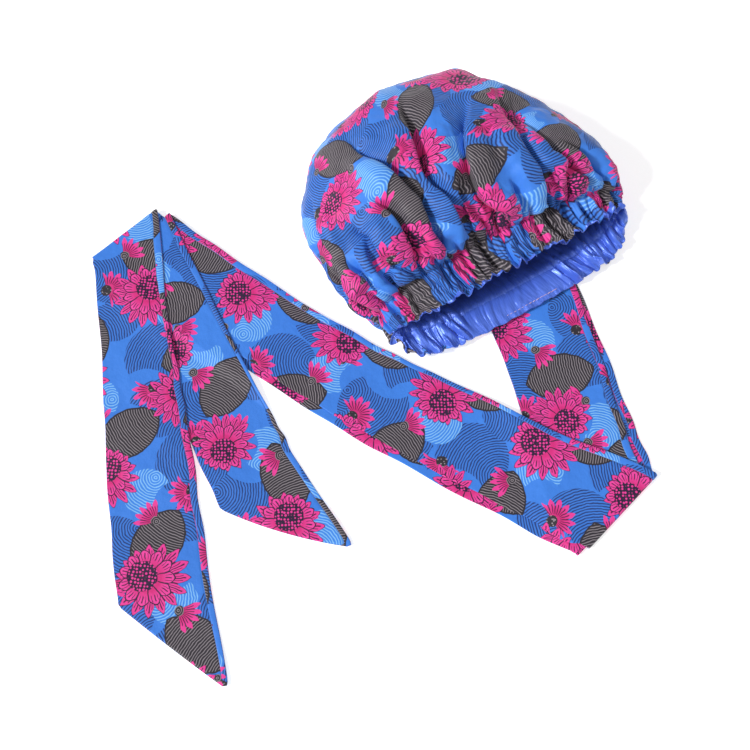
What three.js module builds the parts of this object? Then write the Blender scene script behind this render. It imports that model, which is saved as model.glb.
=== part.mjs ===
// A double-layer bonnet that lies on its back: a printed outer cap, a satin lining, a gathered
// elastic casing round the mouth, and a long tie band whose two halves are folded twice on the
// surface. Millimetres, +Z up. +X is to the right and +Y to the back of the laid-out object.
import * as THREE from "three";

// Driving dimensions
const CAP_WALL = 1.0; // printed cloth, as a wall
const LINING_WALL = 1.0; // satin, as a wall
const LAYER_GAP = 0.6; // between the two cloths
const STRAP_THICK = 1.2; // a tie is a flat tube of the same cloth, two layers thick
const COLUMNS = 66; // facets round the mouth
const PLEATS = 22; // gathers round the mouth at this coarseness
const PLEAT_DEPTH = 1.5; // of a gather at the rim
const PLEAT_REACH = 0.3; // share of the way to the crown at which the gathers have run out
const TOP_ROUND = 0.92; // squareness of a section's upper half
const UNDER_ROUND = 0.55; // how soon the under layer comes down to the surface it lies on
const TURN_STEPS = 6; // facets round each fold of the tie

// Sections from the rim (s = 0) to the crown's end (s = 1). l and r are a section's widest points
// on the left and right, side its height there, top and low its highest and lowest height, back
// and front how far its top and its underside are set back towards the crown, and square how full
// its underside is.
const SECTIONS = [
  { at: "edge", s: 0, lx: 13, ly: 32, rx: 238, ry: 163, side: 22, top: 46, low: 6, back: -8, front: -40, square: 0.6 },
  { at: "elastic", s: 0.045, lx: 7, ly: 38, rx: 234, ry: 166, side: 22, top: 44, low: 7, back: 4, front: -33, square: 0.63 },
  { at: "seam", s: 0.09, lx: 0, ly: 44, rx: 233, ry: 173, side: 24, top: 50, low: 5, back: 12, front: -24, square: 0.7 },
  { at: "shoulder", s: 0.18, lx: -23, ly: 56, rx: 235, ry: 182, side: 27, top: 70, low: 0, back: 14, front: -12, square: 0.75 },
  { at: "belly", s: 0.32, lx: -49, ly: 87, rx: 234, ry: 194, side: 30, top: 88, low: 0, back: 16, front: -2, square: 0.8 },
  { at: "middle", s: 0.48, lx: -67, ly: 132, rx: 224, ry: 207, side: 32, top: 95, low: 0, back: 12, front: 2, square: 0.85 },
  { at: "back", s: 0.62, lx: -68, ly: 176, rx: 206, ry: 225, side: 33, top: 92, low: 0, back: 8, front: 4, square: 0.9 },
  { at: "crown", s: 0.76, lx: -53, ly: 218, rx: 177, ry: 252, side: 34, top: 86, low: 0, back: 3, front: 6, square: 0.9 },
  { at: "cap", s: 0.88, lx: -24, ly: 256, rx: 143, ry: 278, side: 35, top: 74, low: 3, back: 3, front: 4, square: 0.95 },
  { at: "end", s: 0.96, lx: 20, ly: 283, rx: 114, ry: 293, side: 36, top: 58, low: 14, back: 2, front: 2, square: 1 },
  { at: "pole", s: 1, lx: 68, ly: 299, rx: 85, ry: 300, side: 37, top: 40, low: 34, back: 0, front: 0, square: 1 },
];
const ROWS = [0.09, 0.13, 0.18, 0.25, 0.32, 0.4, 0.48, 0.56, 0.64, 0.72, 0.8, 0.87, 0.93, 0.97, 1];

// Valleys of the cloth. Each runs from the turn `from` (degrees round the mouth: 0 right, 90 the
// upper side, 180 left, 270 the underside) at share s0 to the turn `to` at share s1, with `bend`
// degrees of bow at half way, and is `deep` mm and `wide` degrees.
const VALLEYS = [
  { name: "left diagonal", from: 100, s0: 0.1, to: 127, s1: 0.64, bend: -6, deep: 9, wide: 5 },
  { name: "crown left", from: 99, s0: 0.3, to: 112, s1: 0.86, bend: -2, deep: 5, wide: 4.5 },
  { name: "middle", from: 95, s0: 0.1, to: 86, s1: 0.82, bend: -2, deep: 9, wide: 5 },
  { name: "right middle", from: 71, s0: 0.1, to: 70, s1: 0.8, bend: -3, deep: 8, wide: 4.5 },
  { name: "right", from: 50, s0: 0.16, to: 62, s1: 0.68, bend: 2, deep: 7, wide: 4.5 },
  { name: "right short", from: 64, s0: 0.1, to: 62, s1: 0.42, bend: 0, deep: 5, wide: 4 },
  { name: "far right", from: 40, s0: 0.12, to: 46, s1: 0.55, bend: 0, deep: 5, wide: 5 },
  { name: "right side", from: 27, s0: 0.1, to: 30, s1: 0.5, bend: 0, deep: 5, wide: 6 },
  { name: "left dent", from: 131, s0: 0.1, to: 142, s1: 0.46, bend: 0, deep: 7, wide: 6 },
  { name: "far left", from: 150, s0: 0.12, to: 166, s1: 0.5, bend: 0, deep: 6, wide: 6 },
  { name: "left side", from: 170, s0: 0.1, to: 176, s1: 0.42, bend: 0, deep: 5, wide: 6 },
  { name: "rim left", from: 122, s0: 0.09, to: 126, s1: 0.3, bend: 0, deep: 5, wide: 4.5 },
  { name: "rim middle", from: 112, s0: 0.09, to: 117, s1: 0.3, bend: 0, deep: 5, wide: 4.5 },
  { name: "rim right", from: 82, s0: 0.09, to: 84, s1: 0.25, bend: 0, deep: 4, wide: 4.5 },
  { name: "under left", from: 215, s0: 0.1, to: 225, s1: 0.5, bend: 0, deep: 4, wide: 7 },
  { name: "under middle", from: 262, s0: 0.1, to: 258, s1: 0.55, bend: 0, deep: 3, wide: 7 },
  { name: "under right", from: 318, s0: 0.1, to: 310, s1: 0.5, bend: 0, deep: 4, wide: 7 },
];

// The casing's cut across: share s of the way from the rim, and the height `off` over the cap's
// outer face. It is thin at the ruffled edge and thick over the elastic.
const CASING = [
  { s: 0, off: -0.6 },
  { s: 0.02, off: 0 },
  { s: 0.035, off: 0.9 },
  { s: 0.052, off: 1 },
  { s: 0.068, off: 0.7 },
  { s: 0.08, off: -0.1 },
  { s: 0.08, off: -2.5 },
  { s: 0.068, off: -3.3 },
  { s: 0.052, off: -3.6 },
  { s: 0.035, off: -3.5 },
  { s: 0.02, off: -2.6 },
  { s: 0, off: -2.2 },
];

// Lines across each half of the tie, from where it is sewn under the rim to its slanted tip. a and
// b are the line's ends on the tie's left and right edge, and z is the height of the cloth's
// middle. At a turn it folds over itself and goes on at the height `over`.
const TIE_LONG = [
  { at: "sewn", ax: 104, ay: 54, bx: 184, by: 105, z: 2.2 },
  { at: "rim", ax: 111, ay: 37, bx: 191, by: 84, z: 2.2 },
  { at: "leg", ax: 133, ay: -37, bx: 221, by: -37, z: 2.2 },
  { at: "lower leg", ax: 154, ay: -100, bx: 232, by: -77, z: 2.2 },
  { at: "turn 1", ax: 175, ay: -167, bx: 238, by: -104, z: 2.2, over: 3.8 },
  { at: "off the leg", ax: 169, ay: -164, bx: 130, by: -46, z: 3.8 },
  { at: "down", ax: 144, ay: -151, bx: 102, by: -30, z: 0.6 },
  { at: "run a", ax: 100, ay: -127, bx: 53, by: -9, z: 0.6 },
  { at: "run b", ax: 1, ay: -72, bx: -3, by: 20, z: 0.6 },
  { at: "run c", ax: -68, ay: -29, bx: -52, by: 51, z: 0.6 },
  { at: "run d", ax: -163, ay: 38, bx: -128, by: 102, z: 0.6 },
  { at: "turn 2", ax: -268, ay: 115, bx: -210, by: 167, z: 0.6, over: 5.4 },
  { at: "off the run", ax: -265, ay: 101, bx: -191, by: 47, z: 5.4 },
  { at: "on the short tail", ax: -257, ay: 49, bx: -181, by: 4, z: 2.3 },
  { at: "tail a", ax: -247, ay: -25, bx: -174, by: -25, z: 2.3 },
  { at: "tail b", ax: -242, ay: -69, bx: -164, by: -72, z: 2.3 },
  { at: "down again", ax: -238, ay: -101, bx: -157, by: -109, z: 0.6 },
  { at: "tail c", ax: -230, ay: -154, bx: -148, by: -158, z: 0.6 },
  { at: "tip", ax: -220, ay: -211, bx: -126, by: -275, z: 0.6 },
];
const TIE_SHORT = [
  { at: "sewn", ax: 106, ay: 55, bx: 186, by: 106, z: 0.6 },
  { at: "rim", ax: 112, ay: 37, bx: 194, by: 84, z: 0.6 },
  { at: "leg", ax: 141, ay: -42, bx: 231, by: -37, z: 0.6 },
  { at: "lower leg", ax: 163, ay: -104, bx: 242, by: -72, z: 0.6 },
  { at: "turn 1", ax: 184, ay: -160, bx: 249, by: -94, z: 0.6, over: 5.4 },
  { at: "off the leg", ax: 164, ay: -155, bx: 125, by: -37, z: 5.4 },
  { at: "down", ax: 138, ay: -138, bx: 97, by: -20, z: 2.2 },
  { at: "run a", ax: 103, ay: -119, bx: 57, by: -1, z: 2.2 },
  { at: "run b", ax: 4, ay: -64, bx: 1, by: 29, z: 2.2 },
  { at: "run c", ax: -65, ay: -22, bx: -49, by: 59, z: 2.2 },
  { at: "run d", ax: -158, ay: 41, bx: -125, by: 111, z: 2.2 },
  { at: "turn 2", ax: -255, ay: 103, bx: -198, by: 164, z: 2.2, over: 3.8 },
  { at: "off the run", ax: -249, ay: 91, bx: -108, by: -13, z: 3.8 },
  { at: "down again", ax: -235, ay: 64, bx: -94, by: -37, z: 0.6 },
  { at: "tail a", ax: -165, ay: -67, bx: -74, by: -74, z: 0.6 },
  { at: "tail b", ax: -149, ay: -100, bx: -50, by: -112, z: 0.6 },
  { at: "tip", ax: -136, ay: -127, bx: -23, by: -151, z: 0.6 },
];

// A smooth curve through a column of SECTIONS that never overshoots a row (Fritsch-Carlson slopes).
function curve(rows, key) {
  const n = rows.length,
    step = [],
    rise = [],
    slope = [];
  for (let i = 0; i < n - 1; i++) {
    step.push(rows[i + 1].s - rows[i].s);
    rise.push((rows[i + 1][key] - rows[i][key]) / step[i]);
  }
  for (let i = 0; i < n; i++) {
    if (i === 0 || i === n - 1) slope.push(rise[i === 0 ? 0 : n - 2]);
    else if (rise[i - 1] * rise[i] <= 0) slope.push(0);
    else {
      const w1 = 2 * step[i] + step[i - 1],
        w2 = step[i] + 2 * step[i - 1];
      slope.push((w1 + w2) / (w1 / rise[i - 1] + w2 / rise[i]));
    }
  }
  return (s) => {
    let i = 0;
    while (i < n - 2 && s > rows[i + 1].s) i++;
    const h = step[i],
      t = (s - rows[i].s) / h,
      a = rows[i][key],
      b = rows[i + 1][key];
    return (
      a * (1 + 2 * t) * (1 - t) ** 2 +
      h * slope[i] * t * (1 - t) ** 2 +
      b * t * t * (3 - 2 * t) +
      h * slope[i + 1] * t * t * (t - 1)
    );
  };
}
const at = Object.fromEntries(
  ["lx", "ly", "rx", "ry", "side", "top", "low", "back", "front", "square"].map((k) => [k, curve(SECTIONS, k)]),
);

// The cap's outer face before its folds, at `turn` degrees round the mouth and share s.
function plain(turn, s) {
  const t = THREE.MathUtils.degToRad(turn),
    c = Math.cos(t),
    u = Math.sin(t),
    above = u > 0,
    lx = at.lx(s),
    ly = at.ly(s),
    rx = at.rx(s),
    ry = at.ry(s),
    hx = (rx - lx) / 2,
    hy = (ry - ly) / 2,
    len = Math.hypot(hx, hy),
    across = Math.sign(c) * Math.abs(c) ** (above ? TOP_ROUND : at.square(s)),
    lift = Math.abs(u) ** (above ? 0.95 : 0.9),
    off = (above ? at.back(s) : at.front(s)) * lift,
    side = at.side(s),
    z = above ? side + (at.top(s) - side) * lift : side - (side - at.low(s)) * Math.abs(u) ** UNDER_ROUND;
  return new THREE.Vector3(
    (lx + rx) / 2 + across * hx - (off * hy) / len,
    (ly + ry) / 2 + across * hy + (off * hx) / len,
    z,
  );
}

function normal(turn, s) {
  const e = 0.01,
    s0 = Math.max(0, s - e),
    s1 = Math.min(1, s + e),
    round = plain(turn + 2, s).sub(plain(turn - 2, s)),
    along = plain(turn, s1).sub(plain(turn, s0));
  return along.cross(round).normalize();
}

// How deep the gathers and valleys are at a point.
function depth(turn, s) {
  const reach = Math.max(0, 1 - s / PLEAT_REACH);
  let d = PLEAT_DEPTH * reach * (0.5 - 0.5 * Math.cos(THREE.MathUtils.degToRad(turn * PLEATS)));
  for (const v of VALLEYS) {
    const u = (s - v.s0) / (v.s1 - v.s0);
    if (u < -0.15 || u > 1) continue;
    const line = v.from + (v.to - v.from) * u + v.bend * 4 * u * (1 - u),
      fade = Math.sin(Math.PI * Math.min(1, Math.max(0, (u + 0.15) / 1.15)) ** 0.7);
    d += v.deep * fade * Math.exp(-(((turn - line) / v.wide) ** 2));
  }
  return d;
}

// A point `off` mm outside the folded cap's outer face.
function cloth(turn, s, off) {
  const p = plain(turn, s).addScaledVector(normal(turn, s), off - depth(turn, s));
  if (off === 0) p.z = Math.max(p.z, 0);
  return p;
}

function bodyOf(points, triangles) {
  const g = new THREE.BufferGeometry();
  g.setAttribute("position", new THREE.Float32BufferAttribute(points.flatMap((p) => [p.x, p.y, p.z]), 3));
  g.setIndex(triangles);
  g.computeVertexNormals();
  return g;
}

// A bag whose wall runs from `outer` to `inner` mm off the cap's face, open at the mouth.
function bag(outer, inner) {
  const points = [],
    triangles = [],
    n = COLUMNS,
    m = ROWS.length,
    id = (face, i, j) => (face * m + i) * n + (j % n);
  for (const off of [outer, inner])
    for (const s of ROWS) for (let j = 0; j < n; j++) points.push(cloth((360 * j) / n, s, off));
  const quad = (a, b, c, d) => triangles.push(a, c, b, a, d, c);
  for (let j = 0; j < n; j++) {
    for (let i = 0; i < m - 1; i++) {
      quad(id(0, i, j), id(0, i, j + 1), id(0, i + 1, j + 1), id(0, i + 1, j));
      quad(id(1, i, j), id(1, i + 1, j), id(1, i + 1, j + 1), id(1, i, j + 1));
    }
    quad(id(0, 0, j), id(1, 0, j), id(1, 0, j + 1), id(0, 0, j + 1));
  }
  for (const face of [0, 1]) {
    const middle = new THREE.Vector3();
    for (let j = 0; j < n; j++) middle.addScaledVector(points[id(face, m - 1, j)], 1 / n);
    points.push(middle);
    for (let j = 0; j < n; j++) {
      const a = id(face, m - 1, j),
        b = id(face, m - 1, j + 1);
      triangles.push(...(face ? [a, b] : [b, a]), points.length - 1);
    }
  }
  return bodyOf(points, triangles);
}

function casing() {
  const points = [],
    triangles = [],
    n = COLUMNS,
    m = CASING.length;
  for (let j = 0; j < n; j++)
    for (const c of CASING) {
      const p = plain((360 * j) / n, c.s);
      points.push(p.addScaledVector(normal((360 * j) / n, c.s), c.off - depth((360 * j) / n, c.s)));
    }
  for (let j = 0; j < n; j++)
    for (let i = 0; i < m; i++) {
      const a = j * m + i,
        b = j * m + ((i + 1) % m),
        c = ((j + 1) % n) * m + ((i + 1) % m),
        d = ((j + 1) % n) * m + i;
      triangles.push(a, c, d, a, b, c);
    }
  return bodyOf(points, triangles);
}

// A tie: the lines of its table, with an arc of lines at each turn, thickened to a closed body.
function tie(rows) {
  const lines = []; // each line: its two ends and the cloth's face direction there
  let face = -1; // the side of the cloth that looks down on the first leg
  rows.forEach((r, i) => {
    const a = new THREE.Vector3(r.ax, r.ay, r.z),
      b = new THREE.Vector3(r.bx, r.by, r.z);
    if (r.over === undefined) {
      lines.push({ a, b, n: new THREE.Vector3(0, 0, face) });
      return;
    }
    const radius = (r.over - r.z) / 2,
      before = rows[i - 1],
      travel = new THREE.Vector3(
        (a.x + b.x - before.ax - before.bx) / 2,
        (a.y + b.y - before.ay - before.by) / 2,
        0,
      ),
      axis = b.clone().sub(a).setZ(0).normalize(),
      out = new THREE.Vector3(-axis.y, axis.x, 0);
    if (out.dot(travel) < 0) out.negate();
    const turned = -face; // +1 where the cloth's face is the outside of the bend
    for (let k = 0; k <= TURN_STEPS; k++) {
      const q = -Math.PI / 2 + (Math.PI * k) / TURN_STEPS,
        d = out.clone().multiplyScalar(Math.cos(q)).setZ(Math.sin(q)),
        shift = d.clone().multiplyScalar(radius).add(new THREE.Vector3(0, 0, radius));
      lines.push({ a: a.clone().add(shift), b: b.clone().add(shift), n: d.clone().multiplyScalar(turned) });
    }
    face = -face;
  });
  const points = [],
    triangles = [],
    h = STRAP_THICK / 2;
  for (const l of lines)
    points.push(
      l.a.clone().addScaledVector(l.n, h),
      l.b.clone().addScaledVector(l.n, h),
      l.b.clone().addScaledVector(l.n, -h),
      l.a.clone().addScaledVector(l.n, -h),
    );
  const quad = (a, b, c, d) => triangles.push(a, b, c, a, c, d);
  for (let i = 0; i < lines.length - 1; i++)
    for (let k = 0; k < 4; k++) quad(4 * i + k, 4 * i + ((k + 1) % 4), 4 * i + 4 + ((k + 1) % 4), 4 * i + 4 + k);
  quad(0, 3, 2, 1);
  const e = 4 * (lines.length - 1);
  quad(e, e + 1, e + 2, e + 3);
  return bodyOf(points, triangles);
}

const PRINT = { color: 0x3f84e4, roughness: 0.75, metalness: 0 };
const SATIN = { color: 0x4560d8, roughness: 0.35, metalness: 0 };
const group = new THREE.Group();
function piece(name, geometry, finish) {
  const mesh = new THREE.Mesh(geometry, new THREE.MeshStandardMaterial({ ...finish, side: THREE.DoubleSide }));
  mesh.name = name;
  group.add(mesh);
}
piece("print_cap", bag(0, -CAP_WALL), PRINT);
piece("satin_lining", bag(-CAP_WALL - LAYER_GAP, -CAP_WALL - LAYER_GAP - LINING_WALL), SATIN);
piece("elastic_casing", casing(), { ...PRINT, color: 0x3a78d6 });
piece("tie_strap_long", tie(TIE_LONG), PRINT);
piece("tie_strap_short", tie(TIE_SHORT), { ...PRINT, color: 0x3b7cdc });

// The origin is the middle of the box, on the surface that the object lies on.
const box = new THREE.Box3().setFromObject(group);
group.position.set(-(box.min.x + box.max.x) / 2, -(box.min.y + box.max.y) / 2, -box.min.z);

export default group;
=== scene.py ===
"""The looks of the bonnet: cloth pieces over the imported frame, in metres. Tables are millimetres."""

import math

import bpy
import numpy as np
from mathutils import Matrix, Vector


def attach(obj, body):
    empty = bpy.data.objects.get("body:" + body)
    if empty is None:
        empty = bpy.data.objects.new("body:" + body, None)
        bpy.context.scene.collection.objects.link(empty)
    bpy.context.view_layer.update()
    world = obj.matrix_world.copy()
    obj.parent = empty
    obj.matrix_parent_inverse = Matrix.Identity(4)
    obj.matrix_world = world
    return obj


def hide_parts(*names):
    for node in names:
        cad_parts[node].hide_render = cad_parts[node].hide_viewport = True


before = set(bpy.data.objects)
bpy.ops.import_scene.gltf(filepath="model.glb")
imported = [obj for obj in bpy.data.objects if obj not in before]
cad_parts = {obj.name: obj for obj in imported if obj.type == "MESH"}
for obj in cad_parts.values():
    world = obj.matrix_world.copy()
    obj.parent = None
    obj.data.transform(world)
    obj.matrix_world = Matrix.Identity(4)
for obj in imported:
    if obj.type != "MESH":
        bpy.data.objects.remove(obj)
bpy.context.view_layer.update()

MM = 0.001
SHIFT = np.array([9.433, -12.5, 0.0])  # from the tables' millimetres to the row frame
RNG = np.random.default_rng(7)

# ---------------------------------------------------------------- the cap's sections
KEYS = ("s", "lx", "ly", "rx", "ry", "side", "top", "low", "back", "front", "square")
SECTIONS = np.array([
    (0.000, 13, 32, 238, 163, 22, 46, 6, -8, -40, 0.60),
    (0.045, 7, 38, 234, 166, 22, 44, 7, 4, -33, 0.63),
    (0.090, 0, 44, 233, 173, 24, 50, 5, 12, -24, 0.70),
    (0.180, -23, 56, 235, 182, 27, 70, 0, 14, -12, 0.75),
    (0.320, -49, 87, 234, 194, 30, 88, 0, 16, -2, 0.80),
    (0.480, -67, 132, 224, 207, 32, 95, 0, 12, 2, 0.85),
    (0.620, -68, 176, 206, 225, 33, 92, 0, 8, 4, 0.90),
    (0.760, -53, 218, 177, 252, 34, 86, 0, 3, 6, 0.90),
    (0.880, -24, 256, 143, 278, 35, 74, 3, 3, 4, 0.95),
    (0.960, 20, 283, 114, 293, 36, 58, 14, 2, 2, 1.00),
    (1.000, 68, 299, 85, 300, 37, 40, 34, 0, 0, 1.00),
])
TOP_ROUND, UNDER_ROUND = 0.92, 0.55

# Folds of the cloth. Each: its line as (s, turn) up from the rim, depth mm, side of the lip that lies over (1: greater turn)
FOLDS = [
    ([(0.05, 111.2), (0.11, 111), (0.15, 110), (0.21, 109.8), (0.26, 109.2), (0.31, 109), (0.37, 110.8), (0.44, 113), (0.52, 118.5), (0.58, 124.5), (0.63, 128.2), (0.72, 136.8)], 12.5, 1),
    ([(0.08, 97.6), (0.15, 99), (0.2, 99.5), (0.26, 99.8), (0.31, 101), (0.35, 102.8), (0.4, 103.8), (0.46, 104), (0.58, 104.5), (0.65, 104.2), (0.73, 105.8), (0.84, 108)], 12.5, 1),
    ([(0.06, 84.5), (0.1, 84.8), (0.14, 85.2), (0.18, 87.2), (0.24, 89), (0.35, 89), (0.43, 88), (0.56, 86.5), (0.7, 82.2), (0.8, 80)], 10.5, -1),
    ([(0.07, 90.3), (0.12, 91.2), (0.17, 92.8), (0.22, 93.5), (0.27, 95), (0.3, 94), (0.38, 91.5)], 7.5, 1),
    ([(0.06, 69.2), (0.11, 68.8), (0.16, 68), (0.21, 67.8), (0.27, 68.2), (0.36, 70.2), (0.48, 70.8), (0.6, 70.2), (0.73, 65.8), (0.83, 61)], 11.5, 1),
    ([(0.06, 41), (0.1, 41.6), (0.16, 45), (0.2, 49.8), (0.27, 56.5), (0.37, 60.2), (0.47, 61.2), (0.52, 62.2), (0.62, 63), (0.8, 56.5)], 10, 1),
    ([(0.05, 29), (0.08, 28.5), (0.15, 32.8), (0.21, 39.5), (0.32, 45.2), (0.41, 48.8), (0.5, 50.5)], 8.5, 1),
    ([(0.08, 136.6), (0.15, 135.2), (0.2, 133.2), (0.24, 132), (0.28, 131.8), (0.32, 135.2), (0.36, 138.2), (0.41, 142)], 8, -1),
    ([(0.05, 163.5), (0.14, 162.8), (0.24, 160), (0.33, 158), (0.44, 157.2), (0.51, 159), (0.58, 163)], 7, -1),
    ([(0.07, 124), (0.09, 123.5), (0.14, 122.2), (0.19, 120), (0.25, 119.5), (0.32, 120.2), (0.36, 121.8), (0.42, 124)], 9.5, 1),
    ([(0.05, 106.5), (0.09, 107.8), (0.12, 108.2), (0.16, 107.5), (0.2, 106)], 5.5, -1),
    ([(0.06, 141), (0.11, 139.5), (0.16, 139.5), (0.22, 138.5), (0.27, 135.5), (0.3, 133)], 6.5, 1),
    ([(0.07, 76), (0.13, 77.5), (0.2, 78.5), (0.28, 78)], 5.5, 1),
    ([(0.07, 57), (0.13, 58.5), (0.2, 61), (0.27, 64)], 6, 1),
    ([(0.07, 150), (0.13, 149), (0.2, 147), (0.27, 146)], 5, -1),
    ([(0.07, 15), (0.15, 17), (0.25, 20), (0.38, 22)], 6, 1),
    ([(0.07, 176), (0.15, 174), (0.28, 172), (0.4, 172)], 5, 1),
    ([(0.09, 215), (0.25, 220), (0.5, 226)], 5, 1),
    ([(0.09, 262), (0.3, 259), (0.55, 258)], 5, -1),
    ([(0.09, 318), (0.28, 313), (0.5, 309)], 5, 1),
]


def curve(xs, ys):
    """A smooth curve through the points that never overshoots a row."""
    xs, ys = np.asarray(xs, float), np.asarray(ys, float)
    step, rise = np.diff(xs), np.diff(ys) / np.diff(xs)
    slope = np.zeros(len(xs))
    slope[0], slope[-1] = rise[0], rise[-1]
    for i in range(1, len(xs) - 1):
        if rise[i - 1] * rise[i] > 0:
            w1, w2 = 2 * step[i] + step[i - 1], step[i] + 2 * step[i - 1]
            slope[i] = (w1 + w2) / (w1 / rise[i - 1] + w2 / rise[i])

    def value(x):
        x = np.asarray(x, float)
        i = np.clip(np.searchsorted(xs, x, side="right") - 1, 0, len(step) - 1)
        h, t = step[i], (x - xs[i]) / step[i]
        return (
            ys[i] * (1 + 2 * t) * (1 - t) ** 2
            + h * slope[i] * t * (1 - t) ** 2
            + ys[i + 1] * t * t * (3 - 2 * t)
            + h * slope[i + 1] * t * t * (t - 1)
        )

    return value


AT = {k: curve(SECTIONS[:, 0], SECTIONS[:, i]) for i, k in enumerate(KEYS) if i}


def plain(turn, s):
    """The cap's outer face before its folds."""
    turn, s = np.broadcast_arrays(np.asarray(turn, float), np.asarray(s, float))
    t = np.radians(turn)
    c, u = np.cos(t), np.sin(t)
    above = u > 0
    lx, ly, rx, ry = (AT[k](s) for k in ("lx", "ly", "rx", "ry"))
    hx, hy = (rx - lx) / 2, (ry - ly) / 2
    ln = np.hypot(hx, hy)
    across = np.sign(c) * np.abs(c) ** np.where(above, TOP_ROUND, AT["square"](s))
    lift = np.abs(u) ** np.where(above, 0.95, 0.9)
    off = np.where(above, AT["back"](s), AT["front"](s)) * lift
    side = AT["side"](s)
    z = np.where(
        above,
        side + (AT["top"](s) - side) * lift,
        side - (side - AT["low"](s)) * np.abs(u) ** UNDER_ROUND,
    )
    return np.stack(
        [(lx + rx) / 2 + across * hx - off * hy / ln, (ly + ry) / 2 + across * hy + off * hx / ln, z], -1
    )


_t = np.linspace(-90, 270, 72001)
_p = plain(_t, 0.05)
_c = np.concatenate([[0], np.cumsum(np.linalg.norm(np.diff(_p, axis=0), axis=1))])
RIM = _c[-1]


def turn_of(w):
    """The turn at share w of the way round the rim, from the middle of its underside."""
    return np.interp(np.asarray(w) * RIM, _c, _t)


def normals(w, s):
    """Unit normals, outwards, of the smooth face on a grid of w by s."""
    e, k = 0.006, 0.004
    a = plain(turn_of(np.clip(w + k, 0, 1)), s) - plain(turn_of(np.clip(w - k, 0, 1)), s)
    b = plain(turn_of(w), np.minimum(s + e, 0.999)) - plain(turn_of(w), s - e)
    n = np.cross(b, a)
    return n / np.maximum(np.linalg.norm(n, axis=-1, keepdims=True), 1e-9)


# ---------------------------------------------------------------- noise and gathers
def waves(seed, size, count=14, dims=3):
    r = np.random.default_rng(seed)
    d = r.normal(size=(count, dims))
    d /= np.linalg.norm(d, axis=1, keepdims=True)
    k = d * (2 * math.pi / size) * r.uniform(0.6, 1.5, (count, 1))
    ph = r.uniform(0, 2 * math.pi, count)

    def value(p):
        out = 0
        for i in range(count):
            out = out + np.sin(p @ k[i] + ph[i])
        return out / math.sqrt(count / 2) * 0.7

    return value


def ring(seed, low, high):
    """Smooth noise round the ring, as a function of w, about -1..1."""
    r = np.random.default_rng(seed)
    fs = r.integers(low, high + 1, 7)
    ph = r.uniform(0, 2 * math.pi, 7)

    def value(w):
        return sum(np.sin(2 * math.pi * f * w + p) for f, p in zip(fs, ph)) / 2.6

    return value


def gather(seed, count, drift=0.9, power=0.7, uneven=0.35):
    """Ridges between sharp valleys, count of them round the rim. Gives the height 0..1 and the ridge's number."""
    r = np.random.default_rng(seed)
    tall = r.uniform(0.22, 1, count)
    gap = r.uniform(1 - uneven, 1 + uneven, count)
    pinch = np.concatenate([[0], np.cumsum(gap)]) / gap.sum()
    slant = ring(seed + 3, 2, 6)

    def value(w, s):
        x = np.mod(w + drift * slant(w) * (s - 0.085) / count, 1)
        k = np.clip(np.searchsorted(pinch, x, side="right") - 1, 0, count - 1)
        f = (x - pinch[k]) / (pinch[k + 1] - pinch[k])
        q = np.sin(np.pi * np.clip(f, 0, 1))
        return q**power * tall[k], k

    value.pinch = pinch[:-1]
    return value


G_FINE = gather(11, 64, 9.0, 0.55, 0.45)
G_IN = gather(21, 60, 12.0, 0.6, 0.5)
G_TINY = gather(31, 141, 2.0)
G_LOBE = gather(101, 19, 6.0, 0.6, 0.5)
G_EDGE = gather(91, 58, 0.0, 0.5, 0.5)
G_MID = gather(41, 27, 3.0)
G_WIDE = gather(51, 13, 2.5)


def ramp(xs, ys):
    return lambda s: np.interp(s, xs, ys)


FINE_AT = ramp([0, 0.012, 0.03, 0.06, 0.085, 0.1, 0.125, 0.16, 0.19], [1.0, 2.8, 4.1, 4.0, 2.4, 2.8, 2.2, 0.9, 0])
MID_AT = ramp([0.07, 0.11, 0.16, 0.21, 0.3, 0.42], [0, 0.8, 1.5, 1.5, 0.8, 0])
WIDE_AT = ramp([0.09, 0.17, 0.26, 0.38, 0.5, 0.66], [0, 1.4, 2.4, 2.0, 1.0, 0])


def over(x, side, lip, slope):
    """A fold's cut across, x in mm from its line: how deep it is, and how far its lip on that side slips over it."""
    y = x * side
    deep = np.where(y > 0, np.exp(-((y / lip) ** 2)), np.exp(-np.abs(y / slope) ** 1.25))
    deep = deep - 0.36 * np.exp(-(((y - 3.5 * lip) / (2.6 * lip)) ** 2))
    return deep, -side * np.exp(-(((y - 1.8 * lip) / (1.4 * lip)) ** 2))


def creases(seed, pinch):
    """A crease that runs up into the cap from each pinch of the elastic. Depth in mm."""
    r = np.random.default_rng(seed)
    n = len(pinch)
    kind = r.permutation(np.arange(n)) / n
    reach = np.where(kind < 0.6, r.uniform(0.035, 0.075, n), np.where(kind < 0.9, r.uniform(0.08, 0.15, n), r.uniform(0.16, 0.28, n)))
    deep = 2.6 + 15.5 * reach**0.6 * r.uniform(0.6, 1.3, n)
    side = r.choice([-1, 1], n)
    drift = r.normal(0, 0.03, n)

    def value(w, s):
        d, slip = np.zeros(w.shape), np.zeros(w.shape)
        for k in range(n):
            t = (s - 0.085) / reach[k]
            c = np.clip(t, 0, 1)
            x = np.mod(w - pinch[k] - drift[k] * np.maximum(s - 0.085, 0) + 0.5, 1) - 0.5
            a = np.where(t < 1, 1.2 * (1 - c) ** 1.5 + deep[k] * (4 * c * (1 - c)) ** 0.8, 0) * np.clip(1 + t * 4, 0, 1)
            wide = 1.0 + 6 * c * reach[k] ** 0.5
            g, l = over(x * RIM, side[k], wide, 1.9 * wide)
            d, slip = d + a * g, slip + 0.6 * a * l
        return d, slip

    return value


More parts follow.
